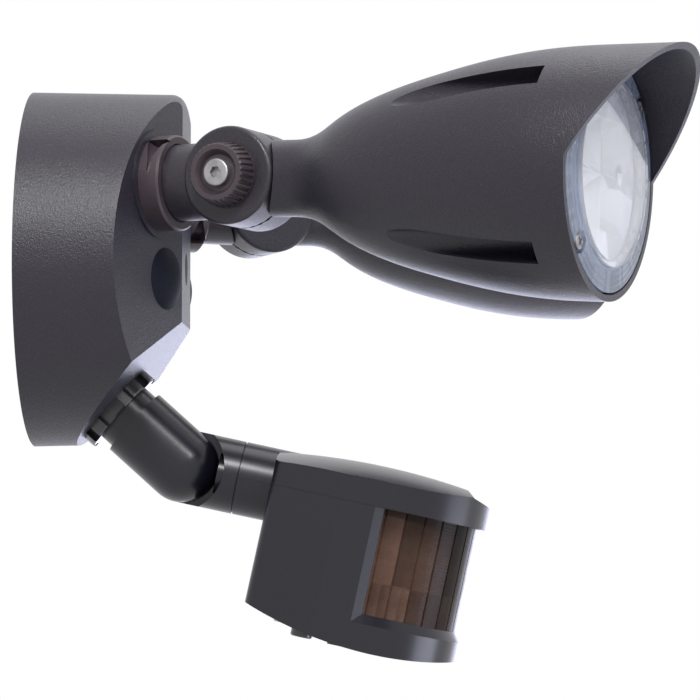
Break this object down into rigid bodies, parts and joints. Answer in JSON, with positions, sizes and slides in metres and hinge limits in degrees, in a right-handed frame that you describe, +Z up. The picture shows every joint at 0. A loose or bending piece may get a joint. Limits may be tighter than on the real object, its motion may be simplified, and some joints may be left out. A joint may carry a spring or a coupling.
{
  "type": "motion sensor security light",
  "caption": "Wall-mounted outdoor security light with bullet lamp heads on locking knuckles, visors and slots, and a swivelling infrared sensor head below a round cast canopy.",
  "frame": {"origin": "centre of the canopy's wall face", "axes": "+Y into the wall, -Y is the front, +Z up, +X to the right seen from the front"},
  "size_m": [0.3108, 0.2537, 0.2359],
  "materials": {
    "cast_powder_coat": "dark bronze grey fine textured powder coat over die cast aluminium",
    "brown_plastic": "plum brown moulded plastic",
    "plug_plastic": "dark blue grey moulded plastic",
    "sensor_plastic": "smooth dark grey moulded plastic",
    "nut_plastic": "gloss black plastic",
    "stainless": "stainless steel",
    "zinc_steel": "bright zinc plated steel",
    "brass_green": "green passivated screw",
    "die_cast_core": "dark anodised die cast aluminium",
    "clear_lens": "clear polycarbonate",
    "reflector_white": "satin white reflector",
    "board_white": "white solder mask with yellow emitters",
    "board_green": "green circuit board",
    "foam": "black closed cell foam",
    "silicone": "grey silicone",
    "sensor_lens_plastic": "smoky brown ribbed polyethylene",
    "driver_case": "white moulded driver case",
    "detector_metal": "gold tinted metal can"
  },
  "bodies": {
    "canopy": {"housing": "cast_powder_coat", "wall_gasket": "foam", "mounting_plate": "zinc_steel", "ground_screw": "brass_green", "centre_bolt": "zinc_steel", "centre_cap": "plug_plastic", "led_driver": "driver_case", "driver_screws": "zinc_steel", "left_plug": "plug_plastic", "right_plug": "plug_plastic"},
    "sensor_locknut": {"sensor_locknut": "nut_plastic"},
    "sensor_base": {"swivel_base": "sensor_plastic", "swivel_screw": "stainless"},
    "sensor_elbow": {"swivel_elbow": "sensor_plastic"},
    "sensor_head": {"sensor_upper_shell": "sensor_plastic", "sensor_lower_shell": "sensor_plastic", "sensor_lens": "sensor_lens_plastic", "neck_pin": "sensor_plastic", "sensor_board": "board_green", "pir_detector": "detector_metal", "photocell_window": "clear_lens", "control_board": "board_green", "shell_screws": "zinc_steel"},
    "range_dial": {"range_dial": "nut_plastic"},
    "mode_switch": {"mode_switch": "nut_plastic"},
    "left_locknut": {"left_locknut": "brown_plastic"},
    "left_arm": {"left_arm": "cast_powder_coat"},
    "left_head": {"left_head_shroud": "cast_powder_coat", "left_lamp_core": "die_cast_core", "left_led_board": "board_white", "left_reflector": "reflector_white", "left_lens_gasket": "silicone", "left_lens": "clear_lens", "left_lens_screws": "stainless", "left_pivot_nut": "stainless"},
    "left_knob": {"left_knob": "brown_plastic", "left_pivot_bolt": "stainless"},
    "right_locknut": {"right_locknut": "brown_plastic"},
    "right_arm": {"right_arm": "cast_powder_coat"},
    "right_head": {"right_head_shroud": "cast_powder_coat", "right_lamp_core": "die_cast_core", "right_led_board": "board_white", "right_reflector": "reflector_white", "right_lens_gasket": "silicone", "right_lens": "clear_lens", "right_lens_screws": "stainless", "right_pivot_nut": "stainless"},
    "right_knob": {"right_knob": "brown_plastic", "right_pivot_bolt": "stainless"}
  },
  "joints": [
    {"name": "left_locknut_turn", "type": "hinge", "parent": "canopy", "child": "left_locknut", "pos_m": [-0.0373, -0.05212, 0.0293], "axis": [-0.4067, -0.9135, 0], "continuous": true},
    {"name": "left_arm_swivel", "type": "hinge", "parent": "canopy", "child": "left_arm", "pos_m": [-0.0373, -0.05212, 0.0293], "axis": [-0.4067, -0.9135, 0], "range_deg": [-90, 90]},
    {"name": "left_head_tilt", "type": "hinge", "parent": "left_arm", "child": "left_head", "pos_m": [-0.05235, -0.08592, 0.0293], "axis": [-0.9135, 0.4067, 0], "range_deg": [-50, 60]},
    {"name": "left_knob_turn", "type": "hinge", "parent": "left_head", "child": "left_knob", "pos_m": [-0.05235, -0.08592, 0.0293], "axis": [-0.9135, 0.4067, 0], "continuous": true},
    {"name": "right_locknut_turn", "type": "hinge", "parent": "canopy", "child": "right_locknut", "pos_m": [0.0373, -0.05212, 0.0293], "axis": [-0.4067, 0.9135, 0], "continuous": true},
    {"name": "right_arm_swivel", "type": "hinge", "parent": "canopy", "child": "right_arm", "pos_m": [0.0373, -0.05212, 0.0293], "axis": [-0.4067, 0.9135, 0], "range_deg": [-90, 90]},
    {"name": "right_head_tilt", "type": "hinge", "parent": "right_arm", "child": "right_head", "pos_m": [0.05235, -0.08592, 0.0293], "axis": [-0.9135, -0.4067, 0], "range_deg": [-50, 60]},
    {"name": "right_knob_turn", "type": "hinge", "parent": "right_head", "child": "right_knob", "pos_m": [0.05235, -0.08592, 0.0293], "axis": [-0.9135, -0.4067, 0], "continuous": true},
    {"name": "sensor_locknut_turn", "type": "hinge", "parent": "canopy", "child": "sensor_locknut", "pos_m": [0, -0.03169, -0.0535], "axis": [0, -0.7431, -0.6691], "continuous": true},
    {"name": "sensor_base_swivel", "type": "hinge", "parent": "canopy", "child": "sensor_base", "pos_m": [0, -0.03169, -0.0535], "axis": [0, -0.7431, -0.6691], "range_deg": [-75, 75]},
    {"name": "sensor_knuckle_tilt", "type": "hinge", "parent": "sensor_base", "child": "sensor_elbow", "pos_m": [0, -0.05844, -0.07759], "axis": [-1, 0, 0], "range_deg": [-45, 30]},
    {"name": "sensor_head_turn", "type": "hinge", "parent": "sensor_elbow", "child": "sensor_head", "pos_m": [0, -0.08091, -0.08249], "axis": [0, -0.977, -0.213], "range_deg": [-60, 60]},
    {"name": "range_dial_turn", "type": "hinge", "parent": "sensor_head", "child": "range_dial", "pos_m": [0, -0.10641, -0.13922], "axis": [0, -0.213, 0.977], "range_deg": [-135, 135]},
    {"name": "mode_switch_slide", "type": "slide", "parent": "sensor_head", "child": "mode_switch", "axis": [0, -0.977, -0.213], "range_m": [-0.001, 0.001]}
  ]
}
